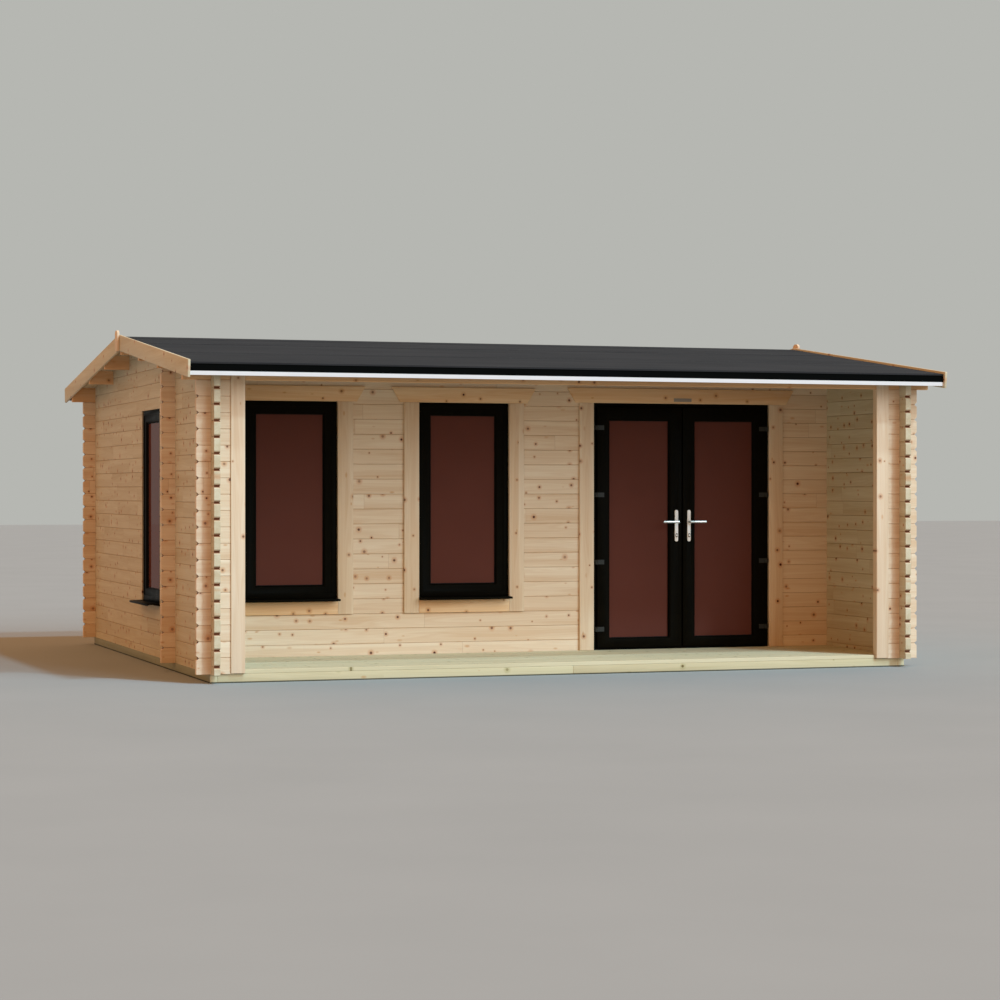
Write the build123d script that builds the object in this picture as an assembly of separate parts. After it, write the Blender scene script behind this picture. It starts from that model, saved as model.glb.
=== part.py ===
"""Garden log cabin with a recessed porch, built of interlocking 44 mm logs.

Millimetres. The origin is on the ground in the middle of the footprint, +Z is up, +X runs along
the ridge and the porch faces -Y.
"""

from build123d import *
from math import cos, radians, tan
import os

os.makedirs("parts", exist_ok=True)

# Plan and roof
cabin_width = 5390.0  # over the outer faces of the side walls, along X
cabin_depth = 4790.0  # over the outer faces of the porch front and the back wall, along Y
porch_depth = 1250.0  # from the porch front back to the front wall's outer face
roof_pitch = 6.91  # degrees
seat = 0.3  # clearance where one piece rests on or fits into another

# Logs
log_thick = 44.0
log_height = 114.0  # what one row adds to the wall
log_rows = 19  # rows from the bearers to the eave
eave_log_rise = 4.0  # the bevelled eave log is this much higher than a plain row
face_bevel = 4.0  # bevel along both faces of a log, at each joint
end_bevel = 18.0  # bevel above and below each log end
corner_overhang = 104.0  # how far a log runs past the wall that it crosses

# Ground frame and floors
bearer_height = 64.0
bearer_width = 54.0
bearer_side_step = 5.0  # the side bearers stand this much outside the side walls
bearer_end_step = 15.0  # the front and back bearers stand this much inside the wall faces
joist_count = 8
floor_thick = 28.0
floor_gap = 1.0  # between the floor boards and the logs
deck_notch = 5.0  # between the porch floor and the posts

# Porch posts and the stub walls that they close
post_offset = 139.0  # from the outer face of the side wall to the post
post_width = 102.0
post_depth = 64.0
post_proud = 10.0  # the post stands this much in front of the stub wall
post_groove = 20.0  # the stub logs end this deep in the post
post_lift = 3.0  # the post stays off the bearer while the logs settle

# Roof
gable_overhang = 200.0  # from the side wall's outer face to the inside of the bargeboard
eave_overhang = 224.0  # from the wall's outer face to the end of the roof boards
roof_board = 19.0
felt = 4.0
felt_lip = 11.0  # the felt turns down over the fascia by this much
purlin_depth = 105.0
ridge_purlin_depth = 114.0
purlin_spacing = 740.0
bargeboard_thick = 19.0
bargeboard_depth = 123.0
bargeboard_upstand = 18.0  # how far the bargeboard stands above the felt
bargeboard_reach = 271.0  # the top corner's distance in front of the wall
cover_width = 100.0
cover_thick = 19.0
cover_rise = 32.0  # how far the apex cover stands above the bargeboards
cover_clip = 28.0  # its upper corners are cut off by this much across
cover_clip_drop = 16.0  # and by this much down
cover_drop = 130.0  # the cover's lower end below the top of the bargeboards
fascia_thick = 18.0
fascia_drop = 85.0  # from the top of the roof boards' ends down to the fascia's lower edge
strip_height = 25.0  # of the eave strip's upright leg
strip_thick = 3.0

# Windows, all of one size
window_width = 730.0
window_height = 1491.0
frame_depth = 60.0
frame_face = 40.0  # visible width of the outer frame
sash_face = 63.0  # visible width of the sash beside it
sash_rail = 57.0  # visible height of the sash above and below the pane
sash_step = 5.0  # the sash lies this much behind the outer frame
bead_bevel = 12.0
pane_recess = 26.0  # from the outer frame's face to the pane
pane_thick = 24.0
pane_cover = 12.0  # how deep the pane sits in the sash
frame_recess = 10.0  # from the wall's face to the frame
front_window_top = 2021.0
side_window_top = 1973.0
left_window_x = 880.0 - cabin_width / 2
right_window_x = 2254.0 - cabin_width / 2
side_window_y = 2210.0 - cabin_depth / 2
sill_height = 25.0
sill_reach = 100.0  # the sill's nose stands this much in front of the wall
sill_fall = 5.0
sill_nose = 15.0
sill_plate = 8.0

# Trims
trim_thick = 18.0
trim_width = 120.0
sill_trim_height = 98.0
header_height = 116.0
header_ear = 30.0  # the header's lower corner beyond the side trim
header_flare = 68.0  # how much wider each end of the header is at its top
plate_width = 150.0
plate_height = 26.0
plate_thick = 3.0
plate_lift = 16.0  # from the header's lower edge to the plate

# French door
door_x = 4073.5 - cabin_width / 2
door_width = 1505.0
door_top = 2033.0
door_frame_face = 26.0
door_frame_depth = 70.0
door_frame_recess = 8.0
door_stop = 12.0  # the stop covers this much of the leaf's edge
threshold = 12.0  # above the floor
leaf_gap = 5.0
meeting_gap = 12.0
leaf_thick = 62.0
leaf_proud = 12.0  # the leaf's face stands this much in front of the wall
stile = 104.0
bottom_rail = 75.0
leaf_bead = 10.0
leaf_pane_recess = 30.0
stop_gap = 6.0

# Hinges
hinge_count = 4
hinge_first = 255.0  # height of the lowest hinge
hinge_spacing = 528.0
hinge_height = 36.0
knuckle_radius = 8.0
knuckle_out = 9.0  # pin axis in front of the leaf's face
pin_radius = 3.0
pin_play = 0.3
hinge_plate = 4.0
hinge_leaf_reach = 58.0
hinge_frame_reach = 16.0
hinge_clear = 2.0
hinge_lap = 1.0  # by which a knuckle's link runs into its plate

# Handles
handle_height = 1096.0
handle_backset = 48.0  # from the leaf's meeting edge to the spindle
handle_plate_width = 27.0
handle_plate_height = 250.0
handle_plate_thick = 11.0
handle_plate_round = 13.0
handle_plate_drop = 30.0  # the plate's middle below the spindle
spindle_radius = 5.0
spindle_bore = 8.0
neck_radius = 9.0
neck_play = 0.3
neck_gap = 1.0  # from the neck's end to the leaf
lever_reach = 45.0  # from the plate to the middle of the lever
lever_length = 132.0
lever_height = 14.0
lever_thick = 12.0
key_drop = 106.0  # the lock cylinder below the spindle
key_radius = 8.0
key_proud = 4.0

# Worked out from the sizes above
half_width = cabin_width / 2
half_depth = cabin_depth / 2
slope = tan(radians(roof_pitch))
plumb = 1 / cos(radians(roof_pitch))  # plumb thickness for each unit of square thickness
floor_top = bearer_height + floor_thick
eave_under = bearer_height + log_rows * log_height + eave_log_rise
front_y = -half_depth + porch_depth  # the front wall's outer face
margin = 20.0  # how far cutting shapes run past what they cut
touch = 0.01  # how near counts as lying on a face


def span(x0, x1, y0, y1, z0, z1):
    """A block between two opposite corners."""
    return Pos((x0 + x1) / 2, (y0 + y1) / 2, (z0 + z1) / 2) * Box(x1 - x0, y1 - y0, z1 - z0)


def area(u0, u1, z0, z1):
    """A rectangle in an elevation, between two opposite corners."""
    return Pos((u0 + u1) / 2, (z0 + z1) / 2) * Rectangle(u1 - u0, z1 - z0)


def outline(*points):
    """A flat face with straight sides."""
    return make_face(Polyline(*points, close=True))


def along_x(section, x0, x1):
    """Extrudes a section drawn as (y, z) from x0 to x1."""
    return extrude(Plane.YZ.offset(x0) * section, amount=x1 - x0)


def along_y(section, y0, y1):
    """Extrudes an elevation drawn as (x, z) from y0 to y1."""
    return extrude(Plane.XZ.offset(-y1) * section, amount=y1 - y0)


def under_roof(y):
    """Height of the roof boards' underside."""
    return eave_under + (half_depth - abs(y)) * slope


def over_boards(y):
    """Height of the roof boards' upper side."""
    return under_roof(y) + roof_board * plumb


def over_felt(y):
    """Height of the felt's upper side."""
    return over_boards(y) + felt * plumb


def bargeboard_top(y):
    """Height of the bargeboards' upper edge."""
    return over_felt(y) + bargeboard_upstand


def save(name, *pieces):
    """Writes one node, made of one solid or several that stay apart."""
    solids = [solid for piece in pieces for solid in piece.solids()]
    export_step(solids[0] if len(solids) == 1 else Compound(children=solids), f"parts/{name}.step")


# Logs. Rows of the cross walls start with a whole log and rows of the side walls with half a log,
# so that at a corner each log's neck lies between the necks of the two logs that cross it.
def row_joints(shift, top):
    """Heights of the joints between rows, below the given top."""
    heights = [bearer_height + (row + shift) * log_height for row in range(1, 2 * log_rows)]
    return [z for z in heights if z < top - face_bevel]


def necks(shift, top):
    """Lower and upper height of each neck at a crossing, for rows shifted by this much of a log."""
    quarter = log_height / 4
    middles = [bearer_height + (row + shift) * log_height for row in range(0, 2 * log_rows)]
    return [(z - quarter, z + quarter) for z in middles if z - quarter < top]


def stack_section(joints, top):
    """Section through a stack of logs, bevelled on both faces at every joint."""
    half = log_thick / 2
    face = [(half, bearer_height)]
    for z in joints:
        face += [(half, z - face_bevel), (half - face_bevel, z), (half, z + face_bevel)]
    face.append((half, top))
    return outline(*face, *[(-u, z) for u, z in reversed(face)])


def log_end(end, inward, joints, top):
    """Points up the end of a wall whose log ends are bevelled above and below."""
    points = [(end, bearer_height)]
    for z in joints:
        if z + end_bevel < top:
            points += [(end, z - end_bevel), (end + inward * end_bevel, z), (end, z + end_bevel)]
    return points


def plain_end(end):
    """A wall end that is cut square."""
    return [(end, bearer_height)]


def notches(middle, levels, bottom):
    """Cut-outs for the necks of a crossing wall that has its middle here."""
    half = log_thick / 2 + seat
    low = [(z0 if z0 > bottom else bottom - margin) for z0, z1 in levels]
    high = [z1 for z0, z1 in levels]
    return [area(middle - half, middle + half, a - seat / 2, b + seat / 2) for a, b in zip(low, high)]


def cross_wall(y, x0, x1, z0, z1, cuts, bevel_left=False, bevel_right=False):
    """A wall along X whose outer face is at y, from row height z0 up to z1 or to the roof."""
    middle = y + log_thick / 2
    top = min(z1, max(under_roof(y), under_roof(y + log_thick)) + margin)
    joints = row_joints(0, top)
    left = log_end(x0, 1, joints, top) if bevel_left else plain_end(x0)
    right = log_end(x1, -1, joints, top) if bevel_right else plain_end(x1)
    face = outline(*right, (x1, top), (x0, top), *reversed(left))
    for cut in cuts:
        face -= cut
    if z0 > bearer_height:
        face -= area(x0 - margin, x1 + margin, 0, z0)
    stack = along_x(Pos(middle, 0) * stack_section(joints, top), x0 - margin, x1 + margin)
    wall = stack & along_y(face, y - margin, y + log_thick + margin)
    if z1 > under_roof(y):
        wall -= above_roof(y, x0, x1)
    return wall


def above_roof(y, x0, x1):
    """Everything above the roof boards' underside, over a cross wall at y."""
    y0, y1 = y - margin, y + log_thick + margin
    high = eave_under + half_depth
    section = outline((y0, under_roof(y0) - seat), (y1, under_roof(y1) - seat), (y1, high), (y0, high))
    return along_x(section, x0 - margin, x1 + margin)


side_middle = half_width - log_thick / 2
end_x = half_width + corner_overhang
end_y = half_depth + corner_overhang
ridge_under = under_roof(0)
side_columns = [
    (-half_depth + log_thick / 2, under_roof(half_depth)),
    (front_y + log_thick / 2, under_roof(front_y)),
    (half_depth - log_thick / 2, under_roof(half_depth)),
]
purlin_lines = [-2 * purlin_spacing, -purlin_spacing, purlin_spacing, 2 * purlin_spacing]


def purlin_section(y, depth):
    """A purlin's section, bevelled on top to the slope of the roof."""
    y0, y1 = y - log_thick / 2, y + log_thick / 2
    low = min(under_roof(y0), under_roof(y1)) - depth
    top = [(y1, under_roof(y1) - seat), (y0, under_roof(y0) - seat)]
    if y0 < 0 < y1:
        top.insert(1, (0, under_roof(0) - seat))
    return outline((y0, low), (y1, low), *top)


def purlin_slot(y, depth):
    """The slot in a gable that a purlin lies in, in the side elevation."""
    half = log_thick / 2 + seat
    low = under_roof(abs(y) + log_thick / 2) - depth - seat
    return area(y - half, y + half, low, ridge_under + margin)


def side_wall(side, window=None):
    """A side wall with its gable, from the porch front to the back, for side -1 or 1."""
    joints = row_joints(-0.5, ridge_under)
    end_top = under_roof(end_y) - seat
    back = log_end(end_y, -1, joints, end_top)
    front = log_end(-end_y, 1, joints, end_top)
    face = outline(*back, (end_y, end_top), (0, ridge_under - seat), (-end_y, end_top), *reversed(front))
    for middle, top in side_columns:
        for cut in notches(middle, necks(0.5, top), bearer_height):
            face -= cut
    for y in purlin_lines:
        face -= purlin_slot(y, purlin_depth)
    face -= purlin_slot(0, ridge_purlin_depth)
    if window:
        face -= window
    x = side * side_middle
    section = Pos(x, 0) * stack_section(joints, ridge_under)
    stack = along_y(section, -end_y - margin, end_y + margin)
    return stack & along_x(face, x - log_thick, x + log_thick)


def corner_cuts(sides):
    """Cut-outs in a cross wall where it crosses the side walls."""
    levels = necks(0, ridge_under)
    return [cut for side in sides for cut in notches(side * side_middle, levels, bearer_height)]


# Walls
def opening(middle, width, low, high):
    """The hole that a frame is set in, with room to fit it."""
    return area(middle - width / 2 - seat, middle + width / 2 + seat, low - seat, high + seat)


window_low = window_height + sill_height
side_hole = opening(side_window_y, window_width, side_window_top - window_low, side_window_top)
left_hole = opening(left_window_x, window_width, front_window_top - window_low, front_window_top)
right_hole = opening(right_window_x, window_width, front_window_top - window_low, front_window_top)
door_left = door_x - door_width / 2
door_right = door_x + door_width / 2
door_head = door_top + seat
roof_level = ridge_under + margin

save("left_wall", side_wall(-1, side_hole))
save("right_wall", side_wall(1))

window_side_cuts = [*corner_cuts([-1]), left_hole, right_hole]
window_side = (-end_x, door_left - seat)
door_side = (door_right + seat, end_x)
over_door = (door_left - seat, door_right + seat)
save("front_wall_window_side", cross_wall(
    front_y, *window_side, bearer_height, roof_level, window_side_cuts, bevel_left=True))
save("front_wall_door_side", cross_wall(
    front_y, *door_side, bearer_height, roof_level, corner_cuts([1]), bevel_right=True))
save("front_wall_over_door", cross_wall(front_y, *over_door, door_head, roof_level, []))

eave_row = bearer_height + (log_rows - 1) * log_height
back_y = half_depth - log_thick
save("back_wall", cross_wall(
    back_y, -end_x, end_x, bearer_height, eave_row, corner_cuts([-1, 1]), True, True))

post_inner = half_width - post_offset - post_width
stub_end = half_width - post_offset - post_groove + seat
save("porch_stub_walls", *[
    cross_wall(-half_depth, -end_x, -stub_end, bearer_height, eave_row, corner_cuts([-1]), True, False),
    cross_wall(-half_depth, stub_end, end_x, bearer_height, eave_row, corner_cuts([1]), False, True),
])


def eave_log(y):
    """The top row over the porch or the back wall, run out to the bargeboards."""
    reach = half_width + gable_overhang - seat
    return cross_wall(y, -reach, reach, eave_row + seat, roof_level, corner_cuts([-1, 1]))


save("eave_logs", eave_log(-half_depth), eave_log(back_y))

# Roof timbers
purlin_reach = half_width + gable_overhang - seat
save("ridge_purlin", along_x(purlin_section(0, ridge_purlin_depth), -purlin_reach, purlin_reach))
save("side_purlins", *[
    along_x(purlin_section(y, purlin_depth), -purlin_reach, purlin_reach) for y in purlin_lines])

boards_end = half_depth + eave_overhang
fascia_face = boards_end + fascia_thick
for name, side in (("front_roof_boards", -1), ("back_roof_boards", 1)):
    ridge = side * seat / 2
    eave = side * boards_end
    section = outline(
        (ridge, under_roof(ridge)), (ridge, over_boards(ridge)),
        (eave, over_boards(eave)), (eave, under_roof(eave)))
    save(name, along_x(section, -purlin_reach, purlin_reach))

felt_edge = fascia_face + seat + felt
felt_inner = felt_edge - felt
lip_low = over_felt(felt_edge) - felt_lip
felt_half = [
    (felt_inner, over_boards(felt_inner) + seat),
    (felt_inner, lip_low),
    (felt_edge, lip_low),
    (felt_edge, over_felt(felt_edge) + seat),
]
save("roof_felt", along_x(outline(
    (0, over_boards(0) + seat), *felt_half, (0, over_felt(0) + seat),
    *[(-y, z) for y, z in reversed(felt_half)]), -purlin_reach, purlin_reach))

# Bargeboards with the cover that closes their joint, and the fascias with their eave strips
barge_in = half_width + gable_overhang
barge_out = barge_in + bargeboard_thick


def bargeboard(side, face):
    """One bargeboard, square at its lower end and plumb at the ridge."""
    foot = half_depth + bargeboard_reach
    lean = bargeboard_depth * slope / plumb
    drop = bargeboard_depth / plumb
    ridge = seat / 2
    section = outline(
        (side * ridge, bargeboard_top(ridge)),
        (side * foot, bargeboard_top(foot)),
        (side * (foot - lean), bargeboard_top(foot) - drop),
        (side * ridge, bargeboard_top(ridge) - bargeboard_depth * plumb),
    )
    x0, x1 = sorted((face * barge_in, face * barge_out))
    return along_x(section, x0, x1)


def apex_cover(face):
    """The board over the joint of two bargeboards, with its upper corners cut off."""
    half = cover_width / 2
    flat = half - cover_clip
    ridge = bargeboard_top(0)
    top = ridge + cover_rise
    section = outline(
        (-half, ridge - cover_drop), (half, ridge - cover_drop), (half, top - cover_clip_drop),
        (flat, top), (-flat, top), (-half, top - cover_clip_drop))
    x0, x1 = sorted((face * (barge_out + seat), face * (barge_out + seat + cover_thick)))
    return along_x(section, x0, x1)


save("left_bargeboards", bargeboard(-1, -1), bargeboard(1, -1))
save("right_bargeboards", bargeboard(-1, 1), bargeboard(1, 1))
save("apex_covers", apex_cover(-1), apex_cover(1))

fascia_low = over_boards(boards_end) - fascia_drop


def fascia(side):
    """The board along the ends of the roof boards, bevelled under the felt."""
    inner = boards_end + seat
    section = outline(
        (side * inner, fascia_low), (side * fascia_face, fascia_low),
        (side * fascia_face, over_boards(fascia_face)), (side * inner, over_boards(inner)))
    return along_x(section, -purlin_reach, purlin_reach)


def eave_strip(side):
    """The angle strip that laps the fascia's lower edge."""
    face = fascia_face + seat
    low = fascia_low - seat
    section = outline(
        (side * (boards_end + seat), low), (side * face, low), (side * face, low + strip_height),
        (side * (face + strip_thick), low + strip_height), (side * (face + strip_thick), low - strip_thick),
        (side * (boards_end + seat), low - strip_thick))
    return along_x(section, -purlin_reach, purlin_reach)


save("eave_fascias", fascia(-1), fascia(1))
save("eave_strips", eave_strip(-1), eave_strip(1))

# Porch posts: grooved over the stub logs, and forked at the top over the eave log
post_y0 = -half_depth - post_proud
post_y1 = post_y0 + post_depth


def porch_post(side):
    """A post that closes a stub wall, for side -1 or 1."""
    x0, x1 = sorted((side * post_inner, side * (post_inner + post_width)))
    section = outline(
        (post_y0, bearer_height + post_lift), (post_y1, bearer_height + post_lift),
        (post_y1, under_roof(post_y1) - seat), (post_y0, under_roof(post_y0) - seat))
    groove_y0, groove_y1 = -half_depth - seat, -half_depth + log_thick + seat
    g0, g1 = sorted((side * (stub_end - seat), side * (post_inner + post_width + margin)))
    groove = span(g0, g1, groove_y0, groove_y1, 0, eave_row + margin)
    fork = span(x0 - margin, x1 + margin, groove_y0, groove_y1, eave_row, roof_level)
    return along_x(section, x0, x1) - groove - fork


save("porch_posts", porch_post(-1), porch_post(1))

# Ground frame: side bearers, cross bearers under the walls and joists between them
side_out = half_width + bearer_side_step
side_in = side_out - bearer_width
frame_front = -half_depth + bearer_end_step
frame_back = half_depth - bearer_end_step
wall_bearer = front_y + log_thick / 2 - bearer_width / 2
bearer_top = bearer_height - seat
bearers = [
    span(-side_out, -side_in, frame_front, frame_back, 0, bearer_top),
    span(side_in, side_out, frame_front, frame_back, 0, bearer_top),
]
for y0 in (frame_front, frame_back - bearer_width, wall_bearer):
    bearers.append(span(-side_in + seat, -seat / 2, y0, y0 + bearer_width, 0, bearer_top))
    bearers.append(span(seat / 2, side_in - seat, y0, y0 + bearer_width, 0, bearer_top))
joist_pitch = 2 * side_in / (joist_count + 1)
for number in range(joist_count):
    x = -side_in + (number + 1) * joist_pitch
    x0, x1 = x - log_thick / 2, x + log_thick / 2
    bearers.append(span(x0, x1, frame_front + bearer_width + seat, wall_bearer - seat, 0, bearer_top))
    bearers.append(span(
        x0, x1, wall_bearer + bearer_width + seat, frame_back - bearer_width - seat, 0, bearer_top))
save("floor_bearers", *bearers)

# Floors
inside_x = half_width - log_thick - floor_gap
notch_x = post_inner - deck_notch
notch_y = post_y1 + deck_notch
porch_floor = span(-inside_x, inside_x, frame_front, front_y - floor_gap, bearer_height, floor_top)
for side in (-1, 1):
    x0, x1 = sorted((side * notch_x, side * (inside_x + margin)))
    porch_floor -= span(x0, x1, frame_front - margin, notch_y, 0, floor_top + margin)
save("porch_floor", porch_floor)
room_front = front_y + log_thick + floor_gap
room_floor = span(-inside_x, inside_x, room_front, back_y - floor_gap, bearer_height, floor_top)
door_frame_back = front_y + door_frame_recess + door_frame_depth
room_floor -= span(door_left - floor_gap, door_right + floor_gap, room_front - margin,
                   door_frame_back + floor_gap, 0, floor_top + margin)
save("room_floor", room_floor)


# Windows. Each is drawn about its own middle, facing -Y, with y = 0 at the wall's outer face and
# z = 0 at the frame's top.
def window_frame():
    """Outer frame and sash in one, with a bevelled bead round the pane."""
    half = window_width / 2
    y0 = frame_recess
    y1 = y0 + frame_depth
    border = frame_face + sash_face
    rail = frame_face + sash_rail
    outer = span(-half, half, y0, y1, -window_height, 0)
    step = span(-half + frame_face, half - frame_face, y0 - margin, y0 + sash_step,
                -window_height + frame_face, -frame_face)
    clear = span(-half + border, half - border, y0 - margin, y1 + margin, -window_height + rail, -rail)
    frame = outer - step - clear
    front = y0 + sash_step
    bead_edges = [
        edge for edge in frame.edges()
        if abs(edge.center().Y - front) < touch and abs(edge.center().X) <= half - border + touch
        and -window_height + rail - touch <= edge.center().Z <= -rail + touch
    ]
    frame = chamfer(bead_edges, bead_bevel)
    return frame - pane_block(seat)


def pane_block(extra):
    """The sealed pane, or the room for it when extra is the clearance."""
    half = window_width / 2 - frame_face - sash_face + pane_cover + extra
    low = -window_height + frame_face + sash_rail - pane_cover - extra
    y0 = frame_recess + pane_recess
    return span(-half, half, y0 - extra, y0 + pane_thick + extra, low, -low - window_height)


def window_sill():
    """The sloping sill under the frame, with its nose in front of the wall."""
    half = window_width / 2
    top = -window_height - seat
    low = top - sill_height + seat
    nose = top - sill_fall
    back = frame_recess + frame_depth
    plate_low = top - sill_plate
    section = outline(
        (-sill_reach, nose - sill_nose), (-sill_reach, nose), (frame_recess, top), (back, top), (back, low),
        (seat, low), (-trim_thick - seat, plate_low - sill_fall / 2),
        (-sill_reach + sill_nose, nose - sill_plate), (-sill_reach + sill_nose / 2, nose - sill_nose))
    return along_x(section, -half, half)


def side_trims(width, low, high):
    """The upright trims beside an opening, against the wall's face."""
    made = []
    for side in (-1, 1):
        x0, x1 = sorted((side * width / 2, side * (width / 2 + trim_width)))
        made.append(span(x0, x1, -trim_thick, -seat, low, high))
    return made


def header_trim(width, low):
    """The board over an opening, whose slanted ends run past the side trims."""
    foot = width / 2 + trim_width + header_ear
    top = foot + header_flare
    section = outline((-foot, low), (foot, low), (top, low + header_height), (-top, low + header_height))
    return along_y(section, -trim_thick, -seat)


def window_trims():
    """Side trims, the trim below the sill and the header."""
    low = -window_height - sill_height
    half = window_width / 2 - seat
    below = span(-half, half, -trim_thick, -seat, low - sill_trim_height, low - seat)
    return [*side_trims(window_width, low - sill_trim_height, -seat), below, header_trim(window_width, 0)]


places = {
    "left_window": Pos(left_window_x, front_y, front_window_top),
    "right_window": Pos(right_window_x, front_y, front_window_top),
    "side_window": Pos(-half_width, side_window_y, side_window_top) * Rot(0, 0, -90),
}
for name, place in places.items():
    save(f"{name}_frame", place * window_frame())
    save(f"{name}_pane", place * pane_block(0))
save("window_sills", *[place * window_sill() for place in places.values()])
save("left_window_trims", *[places["left_window"] * piece for piece in window_trims()])
save("right_window_trims", *[places["right_window"] * piece for piece in window_trims()])

# French door frame, its trims and the plain plate on the header
frame_y0 = front_y + door_frame_recess
frame_y1 = door_frame_back
sill_top = floor_top + threshold
clear_left = door_left + door_frame_face
clear_right = door_right - door_frame_face
clear_top = door_top - door_frame_face
leaf_y0 = front_y - leaf_proud
leaf_y1 = leaf_y0 + leaf_thick
stop_y = leaf_y1 + stop_gap
stop_in = leaf_gap + door_stop
door_frame = span(door_left, door_right, frame_y0, frame_y1, bearer_height, door_top)
door_frame -= span(clear_left, clear_right, frame_y0 - margin, stop_y, sill_top, clear_top)
door_frame -= span(clear_left + stop_in, clear_right - stop_in, stop_y - margin, frame_y1 + margin,
                   sill_top + stop_in, clear_top - stop_in)
save("door_frame", door_frame)

door_place = Pos(door_x, front_y, 0)
header_low = door_top + seat
save("door_trims", *[door_place * piece for piece in [
    *side_trims(door_width, floor_top + seat, door_top), header_trim(door_width, header_low)]])
plate_low = header_low + plate_lift
save("header_plate", door_place * span(
    -plate_width / 2, plate_width / 2, -trim_thick - seat - plate_thick, -trim_thick - seat,
    plate_low, plate_low + plate_height))

# Leaves. Each is drawn with its pin axis on the Z axis and its width along +U; side is -1 for the
# left leaf, whose U runs to +X, and 1 for the right leaf, whose U runs to -X.
pin_y = leaf_y0 - knuckle_out
pin_offset = leaf_gap / 2
leaf_low = sill_top + leaf_gap
leaf_high = clear_top - leaf_gap
leaf_width = (clear_right - clear_left - 2 * leaf_gap - meeting_gap) / 2
pin_x = {-1: clear_left + pin_offset, 1: clear_right - pin_offset}
hinge_levels = [hinge_first + number * hinge_spacing for number in range(hinge_count)]


def in_leaf(side, u0, u1, y0, y1, z0, z1):
    """A block placed by its distance u from the pin axis across the leaf."""
    x0, x1 = sorted((pin_x[side] - side * u0, pin_x[side] - side * u1))
    return span(x0, x1, y0, y1, z0, z1)


def round_in_y(x, y0, y1, z, radius):
    """A round bar along Y."""
    return Pos(x, (y0 + y1) / 2, z) * Rot(90, 0, 0) * Cylinder(radius, y1 - y0)


leaf_u0 = leaf_gap / 2
leaf_u1 = leaf_u0 + leaf_width
handle_u = leaf_u1 - handle_backset


def leaf_pane(side, extra):
    """The leaf's sealed pane, or the room for it when extra is the clearance."""
    inset = stile - pane_cover - extra
    y0 = leaf_y0 + leaf_pane_recess
    return in_leaf(side, leaf_u0 + inset, leaf_u1 - inset, y0 - extra, y0 + pane_thick + extra,
                   leaf_low + bottom_rail - pane_cover - extra, leaf_high - inset)


def leaf_sash(side):
    """Stiles and rails in one, with bevelled beads and the bore for the handle's spindle."""
    sash = in_leaf(side, leaf_u0, leaf_u1, leaf_y0, leaf_y1, leaf_low, leaf_high)
    sash -= in_leaf(side, leaf_u0 + stile, leaf_u1 - stile, leaf_y0 - margin, leaf_y1 + margin,
                    leaf_low + bottom_rail, leaf_high - stile)
    middle = pin_x[side] - side * (leaf_u0 + leaf_u1) / 2
    reach = leaf_width / 2 - stile + touch
    bead_edges = [
        edge for edge in sash.edges()
        if abs(edge.center().Y - leaf_y0) < touch and abs(edge.center().X - middle) <= reach
        and leaf_low + bottom_rail - touch <= edge.center().Z <= leaf_high - stile + touch
    ]
    sash = chamfer(bead_edges, leaf_bead)
    x = pin_x[side] - side * handle_u
    sash -= round_in_y(x, leaf_y0 - margin, leaf_y1 + margin, handle_height, spindle_bore)
    return sash - leaf_pane(side, seat)


def leaf_hinges(side):
    """The moving half of each hinge: upper knuckle and the plate on the leaf's face."""
    made = []
    for level in hinge_levels:
        low, middle, high = level - hinge_height / 2, level, level + hinge_height / 2
        face0, face1 = leaf_y0 - hinge_plate - seat, leaf_y0 - seat
        knuckle = Pos(pin_x[side], pin_y, (middle + seat + high) / 2) * Cylinder(
            knuckle_radius, high - middle - seat)
        link = in_leaf(side, 0, knuckle_radius + hinge_clear + hinge_lap, face0, face1, middle + seat, high)
        plate = in_leaf(side, knuckle_radius + hinge_clear, hinge_leaf_reach, face0, face1, low, high)
        bore = Pos(pin_x[side], pin_y, middle) * Cylinder(pin_radius + pin_play, hinge_height * 2)
        made.append(knuckle + link + plate - bore)
    return made


def frame_hinges(side):
    """The fixed half of each hinge: lower knuckle, pin and the block on the door frame."""
    made = []
    for level in hinge_levels:
        low, middle, high = level - hinge_height / 2, level, level + hinge_height / 2
        knuckle = Pos(pin_x[side], pin_y, (low + middle) / 2) * Cylinder(knuckle_radius, middle - low)
        pin = Pos(pin_x[side], pin_y, (middle + high) / 2) * Cylinder(pin_radius, high - middle)
        near = -knuckle_radius - hinge_clear
        y0, y1 = pin_y - hinge_plate, pin_y + hinge_plate
        block = in_leaf(side, -hinge_frame_reach, near, y0, frame_y0 - seat, low, high)
        link = in_leaf(side, near - hinge_lap, -pin_radius, y0, y1, low, middle)
        made.append(knuckle + pin + block + link)
    return made


def handle_plates(side):
    """The long plates on both faces of the leaf, bored for the lever's neck, with the lock cylinder."""
    x = pin_x[side] - side * handle_u
    middle = handle_height - handle_plate_drop
    made = []
    for y0, y1, key_y in (
        (leaf_y0 - seat - handle_plate_thick, leaf_y0 - seat, -key_proud),
        (leaf_y1 + seat, leaf_y1 + seat + handle_plate_thick, key_proud),
    ):
        plate = Pos(x, (y0 + y1) / 2, middle) * Rot(90, 0, 0) * extrude(
            RectangleRounded(handle_plate_width, handle_plate_height, handle_plate_round),
            amount=handle_plate_thick / 2, both=True)
        bore = round_in_y(x, y0 - margin, y1 + margin, handle_height, neck_radius + neck_play)
        key = round_in_y(x, y0 + min(key_y, 0), y1 + max(key_y, 0), handle_height - key_drop, key_radius)
        made.append(plate - bore + key)
    return made


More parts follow.
